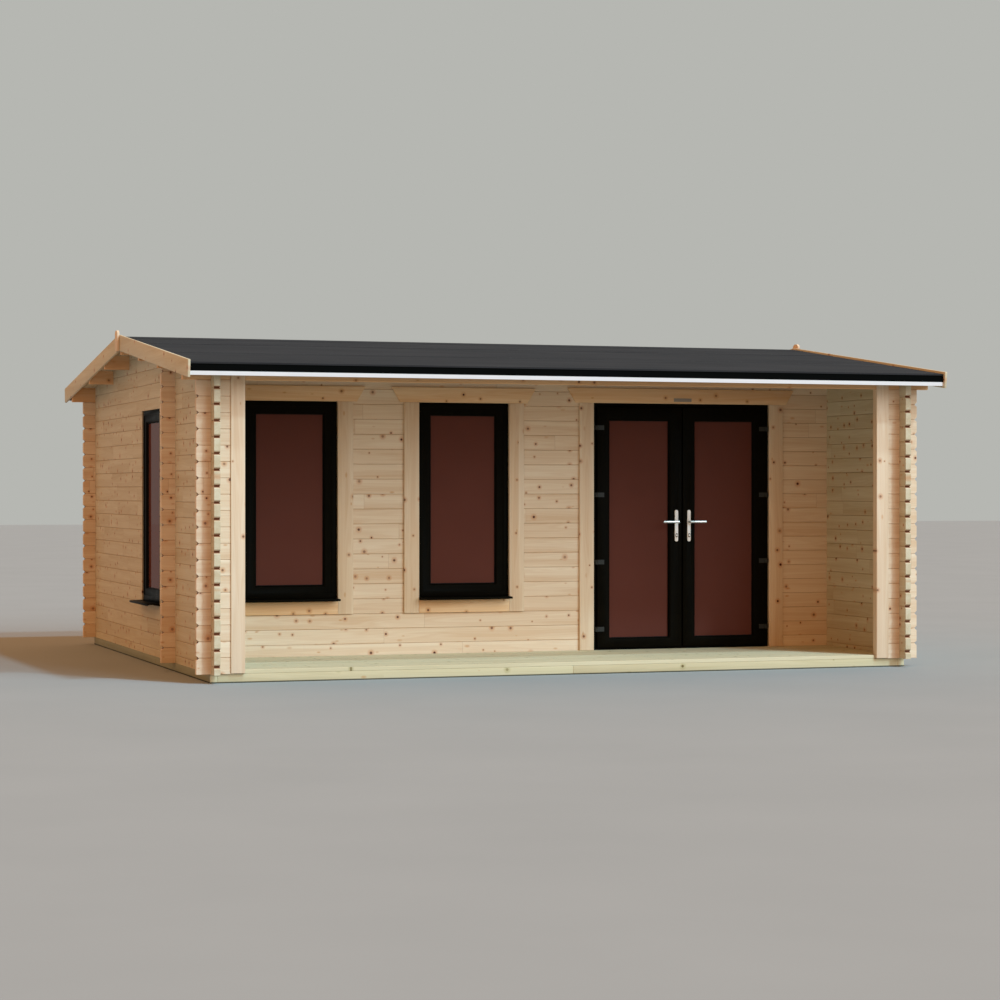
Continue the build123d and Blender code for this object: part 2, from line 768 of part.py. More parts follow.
def lever(side):
    """Both levers on one spindle, turning together."""
    x = pin_x[side] - side * handle_u
    front = leaf_y0 - seat - handle_plate_thick - lever_reach
    back = leaf_y1 + seat + handle_plate_thick + lever_reach
    made = round_in_y(x, leaf_y0 - margin, leaf_y1 + margin, handle_height, spindle_radius)
    for y in (front, back):
        inner = leaf_y0 - neck_gap if y == front else leaf_y1 + neck_gap
        made += round_in_y(x, *sorted((y, inner)), handle_height, neck_radius)
        bar = extrude(SlotCenterToCenter(lever_length - lever_height / 2, lever_height),
                      amount=lever_thick / 2, both=True)
        bar_x = x + side * (lever_length / 2 - lever_height / 4)
        made += Pos(bar_x, y, handle_height) * Rot(90, 0, 0) * bar
    return made


for name, side in (("left", -1), ("right", 1)):
    save(f"{name}_leaf_sash", leaf_sash(side))
    save(f"{name}_leaf_pane", leaf_pane(side, 0))
    save(f"{name}_leaf_hinges", *leaf_hinges(side))
    save(f"{name}_leaf_plates", *handle_plates(side))
    save(f"{name}_leaf_lever", lever(side))
save("frame_hinges", *frame_hinges(-1), *frame_hinges(1))
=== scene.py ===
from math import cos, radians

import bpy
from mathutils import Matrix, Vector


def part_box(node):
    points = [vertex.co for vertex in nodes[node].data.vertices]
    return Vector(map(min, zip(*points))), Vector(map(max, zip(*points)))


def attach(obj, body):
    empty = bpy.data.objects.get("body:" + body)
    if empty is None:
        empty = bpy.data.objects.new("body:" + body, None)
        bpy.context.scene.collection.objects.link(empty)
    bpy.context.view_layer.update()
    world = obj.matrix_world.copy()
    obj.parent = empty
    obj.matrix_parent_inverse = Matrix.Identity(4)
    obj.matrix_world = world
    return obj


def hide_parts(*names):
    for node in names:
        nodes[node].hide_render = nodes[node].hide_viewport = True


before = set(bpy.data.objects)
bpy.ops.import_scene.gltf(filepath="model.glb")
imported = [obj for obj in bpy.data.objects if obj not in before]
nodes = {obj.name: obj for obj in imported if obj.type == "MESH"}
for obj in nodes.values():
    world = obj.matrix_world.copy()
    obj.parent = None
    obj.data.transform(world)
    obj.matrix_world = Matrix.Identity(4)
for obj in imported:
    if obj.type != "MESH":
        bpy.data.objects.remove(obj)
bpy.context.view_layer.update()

# %% [markdown]
# A garden log cabin of planed spruce logs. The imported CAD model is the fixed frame: it gives every
# log, board and door leaf its place, and the body that it moves with. This file gives each surface
# its finish, and adds what is too fine for the CAD model: eased edges, single boards, laps in the
# roofing felt, nails, rubber seals and lock covers. Lengths are in metres, and millimetres are
# written as a number times mm.

mm = 0.001
log_height = 114 * mm
first_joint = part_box("left_wall")[0].z
roof_low, roof_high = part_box("front_roof_boards")
roof_board = 19 * mm
roof_tilt = radians(6.91)
plumb_board = roof_board / cos(roof_tilt)
roof_slope = (roof_high.z - roof_low.z - plumb_board) / (roof_high.y - roof_low.y)

# %% [markdown]
# The camera stands far off to the left of the door, 1.34 m above the ground, with a long lens. That
# keeps the log rows nearly parallel. Its place and its lens could be guessed and nudged, but here
# they come from matching corners of known size, so they are plain numbers.

# %% Camera
viewpoint = (-6.4315, -19.6649, 1.3439)
aim = (radians(89.788), 0, radians(-18.744))
film_width = 36
focal_length = 90.80
bpy.ops.object.select_all(action="DESELECT")
bpy.ops.object.camera_add(location=viewpoint, rotation=aim)
camera = bpy.context.active_object
camera.data.sensor_width = film_width
camera.data.lens = focal_length
bpy.context.scene.camera = camera
print("camera stands", round(-viewpoint[1], 1), "m in front of the cabin's middle")

# %% [markdown]
# Small helpers keep the modelling short. A block is a cube added at its size and place. It is a
# start and never the finished piece, so it is then shaped in edit mode. An operator acts on all
# that is selected, so everything is deselected before anything is added.

# %% Pick and add


def pick_only(*pieces):
    """Selects these objects and nothing else."""
    bpy.ops.object.select_all(action="DESELECT")
    for piece in pieces:
        piece.select_set(True)
    bpy.context.view_layer.objects.active = pieces[0]


def block(name, low, high):
    """A box between two opposite corners, with its place in its mesh."""
    bpy.ops.object.select_all(action="DESELECT")
    low, high = Vector(low), Vector(high)
    bpy.ops.mesh.primitive_cube_add(size=1, location=(low + high) / 2)
    piece = bpy.context.active_object
    piece.name = piece.data.name = name
    piece.scale = high - low
    bpy.ops.object.transform_apply(location=True, rotation=True, scale=True)
    return piece


# %% [markdown]
# Corners, edges and faces are picked by where they are or which way they face, because a script
# has no mouse. What is picked is then handed to one or more steps, and each step is an operator
# that a modeller would use by hand.

# %% Edit mode and its steps


def edit(piece, kind, wanted, *steps):
    """Picks the VERT, EDGE or FACE elements that pass a test, then runs edit-mode steps on them."""
    pick_only(piece)
    bpy.ops.object.mode_set(mode="EDIT")
    bpy.ops.mesh.select_mode(type=kind)
    bpy.ops.mesh.select_all(action="DESELECT")
    bpy.ops.object.mode_set(mode="OBJECT")
    mesh = piece.data
    if kind == "VERT":
        for vertex in mesh.vertices:
            vertex.select = wanted(vertex.co)
    if kind == "EDGE":
        for edge in mesh.edges:
            a, b = (mesh.vertices[number].co for number in edge.vertices)
            edge.select = wanted((a + b) / 2, (b - a).normalized())
    if kind == "FACE":
        for face in mesh.polygons:
            face.select = wanted(face.center, face.normal)
    bpy.ops.object.mode_set(mode="EDIT")
    for step in steps:
        step()
    bpy.ops.object.mode_set(mode="OBJECT")


def bevel(width, segments=2):
    """A step for edit() that rounds the picked edges."""
    return lambda: bpy.ops.mesh.bevel(offset=width, segments=segments, affect="EDGES")


def shift(x=0.0, y=0.0, z=0.0):
    """A step for edit() that moves what is picked."""
    return lambda: bpy.ops.transform.translate(value=(x, y, z))


def inset(width):
    """A step for edit() that draws a smaller face inside the picked one."""
    return lambda: bpy.ops.mesh.inset(thickness=width)


# %% [markdown]
# Modifiers do what would be slow by hand, such as rounding every edge of a wall's worth of boards.
# Each is applied at once, so that the mesh is final and the next step can pick its new edges.

# %% Modifiers


def modify(piece, kind, **settings):
    """Adds a modifier with its settings and applies it."""
    pick_only(piece)
    modifier = piece.modifiers.new(kind.lower(), kind)
    for name, value in settings.items():
        setattr(modifier, name, value)
    bpy.ops.object.modifier_apply(modifier=modifier.name)


# %% [markdown]
# Materials are built from nodes, with no pictures. One helper adds any node with its settings and
# its inputs, and one turns a colour from a paint chart into the linear values that light adds up in.

# %% Helpers for materials


def linear(code):
    """Turns an sRGB hex colour into linear red, green, blue and alpha."""
    values = [int(code[start:start + 2], 16) / 255 for start in (1, 3, 5)]
    return [*(v / 12.92 if v <= 0.04045 else ((v + 0.055) / 1.055) ** 2.4 for v in values), 1.0]


def add(tree, kind, settings=None, inputs=None, output=0):
    """Adds one node. An input takes a value, or the output of another node. Returns one output."""
    node = tree.nodes.new("ShaderNode" + kind)
    for name, value in (settings or {}).items():
        setattr(node, name, value)
    for name, value in (inputs or {}).items():
        if isinstance(value, bpy.types.NodeSocket):
            tree.links.new(value, node.inputs[name])
        else:
            node.inputs[name].default_value = value
    return node.outputs[output]


def new_material(name, color, roughness, **sockets):
    """A Principled material with its plain values on the shader's own sockets."""
    material = bpy.data.materials.new(name)
    material.use_nodes = True
    shader = material.node_tree.nodes["Principled BSDF"]
    shader.inputs["Base Color"].default_value = linear(color)
    shader.inputs["Roughness"].default_value = roughness
    for socket, value in sockets.items():
        shader.inputs[socket.replace("_", " ")].default_value = value
    return material, material.node_tree, shader


print("a middle grey of #808080 is", round(linear("#808080")[0], 3), "in linear light")

# %% [markdown]
# Planed spruce is pale cream wood with soft tan bands, fine fibres that run along the log, and
# knots: dark red-brown hearts in an orange halo. Each log comes from another tree, so it has its
# own shade and its own knots. The pattern is solid: it reads Object coordinates in metres, counts
# the logs upwards to number them, and slides the grain of each by a random amount. Where nothing
# is counted, one board or one length is taken to be longer than any cabin.

# %% Which board, and where on it
endless = 1000.0
row_stagger = 7.3


def number_boards(tree, split, along, across, boards, length, seed):
    """Counts boards across the grain and pieces along it. Returns their joints and random values."""
    start, width = boards or (0.0, endless)
    count = add(tree, "Math", {"operation": "SUBTRACT"}, {0: split[across], 1: start})
    count = add(tree, "Math", {"operation": "DIVIDE"}, {0: count, 1: width})
    number = add(tree, "Math", {"operation": "FLOOR"}, {0: count})
    edge = add(tree, "Math", {"operation": "PINGPONG"}, {0: count, 1: 0.5})
    edge = add(tree, "Math", {"operation": "MULTIPLY"}, {0: edge, 1: width})
    row = add(tree, "Math", {"operation": "ADD"}, {0: number, 1: seed})
    row = add(tree, "TexWhiteNoise", {"noise_dimensions": "1D"}, {"W": row})
    length = length or endless
    run = add(tree, "Math", {"operation": "MULTIPLY_ADD"}, {0: row, 1: row_stagger, 2: split[along]})
    run = add(tree, "Math", {"operation": "DIVIDE"}, {0: run, 1: length})
    butt = add(tree, "Math", {"operation": "PINGPONG"}, {0: run, 1: 0.5})
    butt = add(tree, "Math", {"operation": "MULTIPLY"}, {0: butt, 1: length})
    run = add(tree, "Math", {"operation": "FLOOR"}, {0: run})
    tag = add(tree, "CombineXYZ", inputs={0: number, 1: run, 2: seed})
    chance = add(tree, "TexWhiteNoise", {"noise_dimensions": "3D"}, {"Vector": tag})
    return edge, butt, chance


# %% [markdown]
# A knot is where a branch left the trunk, so it is round across the board and has a halo where
# the grain bends round it. Resin pockets are smaller, yellow, and drawn out along the grain. Both
# are spots in the cells of a Voronoi pattern. The cell's own random colour says whether it holds a
# spot, how large and how dark. A mask is 1 in the middle of a spot and 0 outside it.

# %% Knots and resin
knot_sizes = (4 * mm, 12 * mm)
knot_rims = ((1.15, 0.6), (3.2, 0.9))
resin_sizes = (3 * mm, 8 * mm)
resin_rims = ((1.8, 0.4),)
resin_stretch = (0.45, 1.0, 1.0)
faintest = 0.45


def spots(tree, flat, cells, kept, sizes, rims):
    """Masks of round spots, one for each pair of outer and inner rims, which count in radii."""
    smallest, largest = sizes
    cell = add(tree, "TexVoronoi", {"voronoi_dimensions": "2D"},
               {"Vector": flat, "Scale": cells, "Randomness": 0.95}).node.outputs
    lot = add(tree, "SeparateColor", inputs={0: cell["Color"]}).node.outputs
    present = add(tree, "Math", {"operation": "LESS_THAN"}, {0: lot[0], 1: kept})
    radius = add(tree, "MapRange", inputs={"Value": lot[1], "To Min": smallest, "To Max": largest})
    ratio = add(tree, "Math", {"operation": "DIVIDE"}, {0: cell["Distance"], 1: cells})
    ratio = add(tree, "Math", {"operation": "DIVIDE"}, {0: ratio, 1: radius})
    masks = []
    for outer, inner in rims:
        mask = add(tree, "MapRange", {"interpolation_type": "SMOOTHSTEP"},
                   {"Value": ratio, "From Min": outer, "From Max": inner})
        masks.append(add(tree, "Math", {"operation": "MULTIPLY"}, {0: mask, 1: present}))
    dark = add(tree, "MapRange", inputs={"Value": lot[2], "To Min": faintest})
    masks[0] = add(tree, "Math", {"operation": "MULTIPLY"}, {0: masks[0], 1: dark})
    return masks


# %% [markdown]
# A tree grows a pale ring in spring and a darker one in summer. Sawn lengthwise, the rings show as
# long bands and lines. Here a stretched noise gives the bands, and the sine of it the rings, so the
# rings follow the bands as they do in wood. The fibres of real spruce are under 1 mm wide. They are
# drawn 6 mm wide, the finest that shows in a view of the whole cabin. Stretches are per metre.

# %% Rings and fibres
band_stretch = (0.55, 13.0, 13.0)
ring_angle = 70.0
fibre_stretch = (4.0, 170.0, 170.0)
ring_share, fibre_share = 0.16, 0.2
swing_round_knots = 9 * mm


def growth(tree, split, along, across, slide, glow):
    """Bands, rings and fibres, which swing round the knots. Returns their tone, rings and fibres."""
    deeper = "XYZ".replace(along, "").replace(across, "")
    swing = add(tree, "Math", {"operation": "MULTIPLY_ADD"},
                {0: glow, 1: swing_round_knots, 2: split[across]})
    grain = add(tree, "CombineXYZ", inputs={0: split[along], 1: swing, 2: split[deeper]})
    grain = add(tree, "VectorMath", {"operation": "ADD"}, {0: grain, 1: slide})
    banded = add(tree, "VectorMath", {"operation": "MULTIPLY"}, {0: grain, 1: band_stretch})
    band = add(tree, "TexNoise",
               inputs={"Vector": banded, "Scale": 1.0, "Detail": 2.0, "Distortion": 0.5})
    rings = add(tree, "Math", {"operation": "MULTIPLY"}, {0: band, 1: ring_angle})
    rings = add(tree, "Math", {"operation": "SINE"}, {0: rings})
    rings = add(tree, "Math", {"operation": "MULTIPLY_ADD"}, {0: rings, 1: 0.5, 2: 0.5})
    combed = add(tree, "VectorMath", {"operation": "MULTIPLY"}, {0: grain, 1: fibre_stretch})
    fibre = add(tree, "TexNoise", inputs={"Vector": combed, "Scale": 1.0, "Detail": 2.0})
    tone = add(tree, "MapRange",
               inputs={"Value": band, "From Min": 0.34, "From Max": 0.7, "To Max": 0.5})
    tone = add(tree, "Math", {"operation": "MULTIPLY_ADD"}, {0: rings, 1: ring_share, 2: tone})
    tone = add(tree, "Math", {"operation": "MULTIPLY_ADD"}, {0: fibre, 1: fibre_share, 2: tone})
    return tone, rings, fibre


# %% [markdown]
# Where two logs meet there is a thin brown joint. Near a log's end the bevelled notches face half
# along the grain, and only there the joint gets an orange edge, which is end grain with painted warm
# bounce light, and a dark brown slot, which is painted shade. Each joint is a distance, the distances
# where its share starts and is full, its greatest share, and a colour.

# %% Joints between boards
half_along = cos(radians(45))


def joints_between(tree, place, along, edge, gap, gap_share):
    """The thin joint between boards, the end grain with painted bounce light, and painted notch shade."""
    facing = add(tree, "SeparateXYZ", inputs={0: place.node.outputs["Normal"]}).node.outputs[along]
    facing = add(tree, "Math", {"operation": "ABSOLUTE"}, {0: facing})
    facing = add(tree, "Math", {"operation": "COMPARE"}, {0: facing, 1: half_along, 2: 0.15})
    # orange: end-grain colour with painted warm bounce light; brown: painted shade in the notch's slot
    end_grain_and_bounce_share = add(tree, "Math", {"operation": "MULTIPLY"}, {0: facing, 1: 0.7})
    notch_shade_share = add(tree, "Math", {"operation": "MULTIPLY"}, {0: facing, 1: 0.9})
    return [(edge, 2.2 * mm, 1.1 * mm, gap_share, gap),
            # B5692F is end grain with painted bounce light, #5C2A10 is painted shade in the slot
            (edge, 13 * mm, 8 * mm, end_grain_and_bounce_share, "#B5692F"),
            (edge, 10 * mm, 6 * mm, notch_shade_share, "#5C2A10")]


# %% [markdown]
# The colour is laid on in coats, as a painter would: clear wood, then bands and rings, halo,
# resin, knots, and at last the joints. Each coat is a share from 0 to 1 and a colour. The harder
# rings and the knots stand a little proud of the soft wood, because the planer presses it down.

# %% Timber
slide_range = 60.0
board_drift = 0.13
resin_yellow = "#C07C28"


def timber(name, along, across, pale, deep, boards=None, length=None, cells=7.2, kept=0.48,
           heart="#4E1C0B", halo="#C67C3C", gap="#9A6A3A", gap_share=0.5,
           roughness=0.6, seed=0.0, foot_shade=None):
    """Planed timber whose grain runs along one axis, with boards or logs counted across another."""
    material, tree, shader = new_material(name, pale, roughness, Specular_IOR_Level=0.3)
    place = add(tree, "TexCoord", output="Object")
    split = add(tree, "SeparateXYZ", inputs={0: place}).node.outputs
    edge, butt, chance = number_boards(tree, split, along, across, boards, length, seed)

    # knots and resin on the flat of the board, which slides to another place for each board
    slide = add(tree, "VectorMath", {"operation": "SCALE"},
                {0: chance.node.outputs["Color"], "Scale": slide_range})
    flat = add(tree, "CombineXYZ", inputs={0: split[along], 1: split[across]})
    flat = add(tree, "VectorMath", {"operation": "ADD"}, {0: flat, 1: slide})
    core, glow = spots(tree, flat, cells, kept, knot_sizes, knot_rims)
    drawn = add(tree, "VectorMath", {"operation": "MULTIPLY"}, {0: flat, 1: resin_stretch})
    resin = spots(tree, drawn, cells * 1.35, kept * 0.6, resin_sizes, resin_rims)[0]

    # bands and rings, a little paler or deeper for each board
    tone, rings, fibre = growth(tree, split, along, across, slide, glow)
    drift = add(tree, "MapRange", inputs={"Value": chance, "To Min": -board_drift, "To Max": board_drift})
    tone = add(tree, "Math", {"operation": "ADD", "use_clamp": True}, {0: tone, 1: drift})
    faint_glow = add(tree, "Math", {"operation": "MULTIPLY"}, {0: glow, 1: 0.45})
    faint_resin = add(tree, "Math", {"operation": "MULTIPLY"}, {0: resin, 1: 0.55})
    coats = [(tone, deep), (faint_glow, halo), (faint_resin, resin_yellow), (core, heart)]

    # joints across and along, and the painted shade along the foot
    joints = joints_between(tree, place, along, edge, gap, gap_share) if boards else []
    if length:
        joints.append((butt, 1.6 * mm, 0.8 * mm, gap_share * 0.8, gap))
    if foot_shade:
        # a dark band along the foot: painted shade where the timber meets the floor
        joints.append((split["Z"], 12 * mm, 6 * mm, 0.9, foot_shade))
    for distance, start, full, most, color in joints:
        share = add(tree, "MapRange", {"interpolation_type": "SMOOTHSTEP"},
                    {"Value": distance, "From Min": start, "From Max": full, "To Max": most})
        coats.append((share, color))
    mixed = linear(pale)
    for share, color in coats:
        mixed = add(tree, "Mix", {"data_type": "RGBA"}, {0: share, 6: mixed, 7: linear(color)}, output=2)
    tree.links.new(mixed, shader.inputs["Base Color"])

    # relief
    relief = add(tree, "Math", {"operation": "MULTIPLY_ADD"}, {0: fibre, 1: 0.6, 2: rings})
    relief = add(tree, "Math", {"operation": "MULTIPLY_ADD"}, {0: core, 1: 1.5, 2: relief})
    bump = add(tree, "Bump", inputs={"Strength": 0.3, "Distance": 0.5 * mm, "Height": relief})
    tree.links.new(bump, shader.inputs["Normal"])
    return material


# %% [markdown]
# One wood gives several finishes, because the grain turns with the board. The walls across the
# gables get a darker, yellower spruce, which is painted shade, and the bargeboards and roof boards
# share it. Walls along X and walls along Y have their logs half a row apart, so each has its own timber.

# %% Spruce for logs and boards
pale_spruce, deep_spruce = "#EEDCC2", "#D4B089"
# darker, yellower spruce for the gables, bargeboards and roof boards: painted shade
pale_shaded_spruce, deep_shaded_spruce = "#D8D0B6", "#BFAC88"
pale_board, deep_board = "#F0CDA2", "#D69E66"
log_rows_x = (first_joint, log_height)
log_rows_y = (first_joint - log_height / 2, log_height)
floor_rows = (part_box("room_floor")[0].y, 112 * mm)
logs_along_x = timber("planed_spruce_logs_x", "X", "Z", pale_spruce, deep_spruce, log_rows_x, 1.9)
logs_along_y = timber("planed_spruce_logs_y", "Y", "Z", pale_shaded_spruce, deep_shaded_spruce, log_rows_y, 0.9,
                      cells=8.0, kept=0.55, seed=31.0)
beam_along_x = timber("planed_spruce_beam_x", "X", "Z", pale_board, deep_board, seed=5.0)
board_along_x = timber("planed_spruce_board_x", "X", "Z", pale_board, deep_board, seed=7.0)
board_along_y = timber("planed_spruce_board_y", "Y", "Z", pale_shaded_spruce, deep_shaded_spruce, kept=0.3, seed=11.0)
board_along_z = timber("planed_spruce_board_z", "Z", "X", pale_spruce, deep_spruce, kept=0.3, seed=17.0)
floor_boards = timber("planed_spruce_floor", "X", "Y", pale_spruce, deep_spruce, floor_rows, 2.4, seed=23.0)
print("timber built with", len(logs_along_x.node_tree.nodes), "nodes")

# %% [markdown]
# Pressure-treated pine is the same wood steeped in a copper salt, which leaves it green-grey. The
# ground frame is sawn rather than planed, so it is rougher, and a dark band along its foot is painted
# shade where it meets the floor. The bearers under the gables get a darker, greyer copy of the finish,
# which is painted shade.

# %% Treated pine
# painted shade along the foot of the ground frame
painted_foot_shade = "#33342A"
treated = dict(pale="#DCD2B0", deep="#C2B68E", kept=0.25, heart="#6B5A30", halo="#A59A62")
# a darker, greyer copy for the bearers along Y: painted shade
shaded = treated | dict(pale="#9EA290", deep="#838874")
treated_x = timber("treated_pine_x", "X", "Z", roughness=0.75, seed=41.0, foot_shade=painted_foot_shade, **treated)
treated_y = timber("treated_pine_y", "Y", "Z", roughness=0.75, seed=43.0, foot_shade=painted_foot_shade, **shaded)
print("treated pine for", treated_x.name, "and", treated_y.name)

# %% [markdown]
# Roofing felt is glass fleece soaked in bitumen, with crushed slate pressed into its top. The
# slate gives it a dead matt speckled grey. The real grains are about 1 mm, drawn here at 5 mm, and
# slow streaks along the roof come from the rollers that laid the slate on.

# %% Felt
felt_finish, tree, shader = new_material("slate_mineral_felt", "#3C3C3C", 0.95, Specular_IOR_Level=0.2)
place = add(tree, "TexCoord", output="Object")
grit = add(tree, "TexNoise", inputs={"Vector": place, "Scale": 200.0, "Detail": 2.0})
rolled = add(tree, "VectorMath", {"operation": "MULTIPLY"}, {0: place, 1: (1.2, 6.0, 6.0)})
streak = add(tree, "TexNoise", inputs={"Vector": rolled, "Scale": 1.0, "Detail": 3.0})
level = add(tree, "Math", {"operation": "MULTIPLY_ADD"}, {0: grit, 1: 0.5, 2: streak})
level = add(tree, "MapRange", inputs={"Value": level, "From Min": 0.5, "From Max": 1.1})
slate = add(tree, "Mix", {"data_type": "RGBA"},
            {0: level, 6: linear("#262628"), 7: linear("#38383A")}, output=2)
tree.links.new(slate, shader.inputs["Base Color"])
bump = add(tree, "Bump", inputs={"Strength": 0.5, "Distance": 1 * mm, "Height": grit})
tree.links.new(bump, shader.inputs["Normal"])
print("felt built with", len(tree.nodes), "nodes")

# %% [markdown]
# Moulded, extruded and coated stuff looks even, but never quite is: its colour and its sheen drift
# from place to place, and its skin has a very fine orange peel. One function makes them all, with
# the size of the drift and the depth of the peel for each.

# %% Coated finishes
sheen_drift = 0.2
peel_finer = 12


def speckled(name, dark, light, roughness, scale, relief, **sockets):
    """Moulded or coated stuff, whose colour and sheen drift slightly from place to place."""
    material, tree, shader = new_material(name, dark, roughness, **sockets)
    place = add(tree, "TexCoord", output="Object")
    cloud = add(tree, "TexNoise", inputs={"Vector": place, "Scale": scale, "Detail": 3.0})
    color = add(tree, "Mix", {"data_type": "RGBA"}, {0: cloud, 6: linear(dark), 7: linear(light)}, output=2)
    tree.links.new(color, shader.inputs["Base Color"])
    gloss = add(tree, "MapRange", inputs={"Value": cloud, "To Min": roughness * (1 - sheen_drift),
                                          "To Max": roughness * (1 + sheen_drift)})
    tree.links.new(gloss, shader.inputs["Roughness"])
    peel = add(tree, "TexNoise", inputs={"Vector": place, "Scale": scale * peel_finer, "Detail": 2.0})
    bump = add(tree, "Bump", inputs={"Strength": 0.3, "Distance": relief, "Height": peel})
    tree.links.new(bump, shader.inputs["Normal"])
    return material


fascia_finish = speckled("black_painted_board", "#050605", "#0A0B0A", 0.7, 9.0, 0.3 * mm,
                         Specular_IOR_Level=0.02)
strip_finish = speckled("white_coated_aluminium", "#DCDCDE", "#E6E6E8", 0.4, 6.0, 0.05 * mm)
print("eaves in", fascia_finish.name, "and", strip_finish.name)

# %% [markdown]
# The windows and the door are extruded uPVC with a near-black foil, brushed matt, so it reflects
# little. The glazing is a sealed pane with a red-brown tint: most of the light that enters it is
# lost, and a little of the room behind shows through.

# %% Plastic, rubber and glass
upvc = speckled("black_foiled_upvc", "#090704", "#120F08", 0.45, 14.0, 0.1 * mm, Specular_IOR_Level=0.02)
rubber = speckled("black_epdm_rubber", "#0A0A0A", "#141414", 0.8, 40.0, 0.1 * mm, Specular_IOR_Level=0.2)
glass = speckled("brown_tinted_glass", "#7E4C42", "#704238", 0.04, 1.5, 0.02 * mm, IOR=1.12,
                 Transmission_Weight=0.4, Specular_IOR_Level=0.05)
print("openings in", upvc.name, "with", rubber.name, "round", glass.name)

# %% [markdown]
# The plates behind the handles are cast zinc with a bright white coat, and the levers are satin
# chrome. The hinges are steel with a dark grey powder coat, and the small plate over the door is
# satin grey. The screws are zinc plated, and the nails and lock covers are dark burnished steel.

# %% Metals
chrome = speckled("satin_chrome", "#DCD8D0", "#E6E2DA", 0.22, 30.0, 0.02 * mm, Metallic=1.0)
handle_coat = speckled("white_coated_zinc", "#FAFAF8", "#FEFEFD", 0.3, 30.0, 0.02 * mm)
hinge_coat = speckled("dark_powder_coat", "#2A2A27", "#343430", 0.42, 60.0, 0.1 * mm, Specular_IOR_Level=0.2)
plate_coat = speckled("satin_grey_plate", "#8E857A", "#9A9187", 0.4, 50.0, 0.05 * mm)
steel = speckled("zinc_plated_steel", "#8A8A88", "#A0A09E", 0.4, 60.0, 0.05 * mm, Metallic=1.0)
lock_metal = speckled("burnished_lock_steel", "#201E1C", "#2C2A28", 0.4, 60.0, 0.05 * mm)
print("materials so far", len(bpy.data.materials))

# %% [markdown]
# The log walls keep the CAD shape, because its notched corners and bevelled joints are exact. They
# only need their finish, as do the purlins, the felt, the hinges and the panes.

# %% Finish the CAD pieces


def paint(piece, material):
    """Gives a piece, or a CAD node, one material all over."""
    if piece.material_slots:
        for slot in piece.material_slots:
            slot.material = material
    else:
        piece.data.materials.append(material)


finishes = {
    logs_along_x: ("front_wall_window_side", "front_wall_door_side", "front_wall_over_door", "back_wall",
                   "porch_stub_walls"),
    logs_along_y: ("left_wall", "right_wall"),
    beam_along_x: ("eave_logs", "ridge_purlin", "side_purlins"),
    floor_boards: ("room_floor",),
    felt_finish: ("roof_felt",),
    fascia_finish: ("eave_fascias",),
    strip_finish: ("eave_strips",),
    hinge_coat: ("frame_hinges", "left_leaf_hinges", "right_leaf_hinges"),
    plate_coat: ("header_plate",),
    glass: [name for name in nodes if name.endswith("pane")],
}
for finish, names in finishes.items():
    for name in names:
        paint(nodes[name], finish)
print("painted", sum(len(names) for names in finishes.values()), "CAD pieces")

# %% [markdown]
# Planed boards never have knife-sharp edges: the planer takes 2 to 4 mm off each corner, and that
# rounding catches the light. The CAD pieces are sharp, so each is copied, its triangles are merged
# into clean faces, and a bevel rounds its edges. The copy stands for the CAD piece.

# %% Posts and bargeboards with eased edges
sharp = radians(30)


def eased(node, name, radius, segments=2):
    """A copy of a CAD node with its sharp edges rounded over, to be shown in its place."""
    piece = bpy.data.objects.new(name, nodes[node].data.copy())
    piece.data.name = name
    bpy.context.scene.collection.objects.link(piece)
    edit(piece, "VERT", lambda place: True,
         lambda: bpy.ops.mesh.remove_doubles(threshold=0.01 * mm),
         lambda: bpy.ops.mesh.dissolve_limited(angle_limit=radians(1)))
    modify(piece, "BEVEL", width=radius, segments=segments, limit_method="ANGLE", angle_limit=sharp)
    bpy.ops.object.shade_smooth_by_angle(angle=sharp)
    return piece


def show(piece, body, slot, *replaced):
    """Finishes a new piece: its body, and the CAD nodes that it stands for."""
    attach(piece, body)
    if replaced:
        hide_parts(*replaced)
    print(piece.name, len(piece.data.polygons), "faces")


posts = eased("porch_posts", "eased_posts", 4 * mm, 3)
paint(posts, board_along_z)
show(posts, "cabin", "spruce_boards", "porch_posts")
for name in ("left_bargeboards", "right_bargeboards"):
    boards = eased(name, "eased_" + name, 3 * mm)
    paint(boards, board_along_y)
    show(boards, "cabin", "spruce_boards", name)
covers = eased("apex_covers", "eased_apex_covers", 3 * mm)
paint(covers, board_along_z)
show(covers, "cabin", "spruce_boards", "apex_covers")

# %% [markdown]
# Trims cover the joint between a frame and the logs. Their grain runs upwards at the sides and
# level above and below the opening. They could be four boards each, but one piece with a second
# finish on its level faces looks the same.

# %% Trims with eased edges


def repaint(piece, material, wanted):
    """Gives a second material to the faces whose middle passes a test."""
    piece.data.materials.append(material)
    for face in piece.data.polygons:
        if wanted(face.center):
            face.material_index = len(piece.data.materials) - 1


for name, opening in (("left_window_trims", "left_window_frame"),
                      ("right_window_trims", "right_window_frame"), ("door_trims", "door_frame")):
    low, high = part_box(opening)
    boards = eased(name, "eased_" + name, 3 * mm)
    paint(boards, board_along_z)
    repaint(boards, board_along_x,
            lambda middle: middle.z > high.z or (middle.z < low.z and low.x < middle.x < high.x))
    show(boards, "cabin", "spruce_boards", name)

# %% [markdown]
# The cabin stands on a frame of treated bearers, which keeps the first log off the wet ground. The
# front and the back bearer run along X, and all that lies between them is seen along Y.

# %% Ground frame with eased edges
bearer_width = 54 * mm
frame_low, frame_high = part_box("floor_bearers")
bearers = eased("floor_bearers", "eased_bearers", 3 * mm)
# the bearers along Y get the darker copy, which is painted shade
paint(bearers, treated_y)
repaint(bearers, treated_x,
        lambda middle: not frame_low.y + bearer_width + mm < middle.y < frame_high.y - bearer_width - mm)
show(bearers, "cabin", "treated_timber", "floor_bearers")

# %% [markdown]
# Extruded frames and cast handles have small rounded corners too, and on near-black plastic that
# thin line of light is all that shows the shape. Each part of a leaf rides on its own body, so it
# swings with the leaf or turns with the lever.

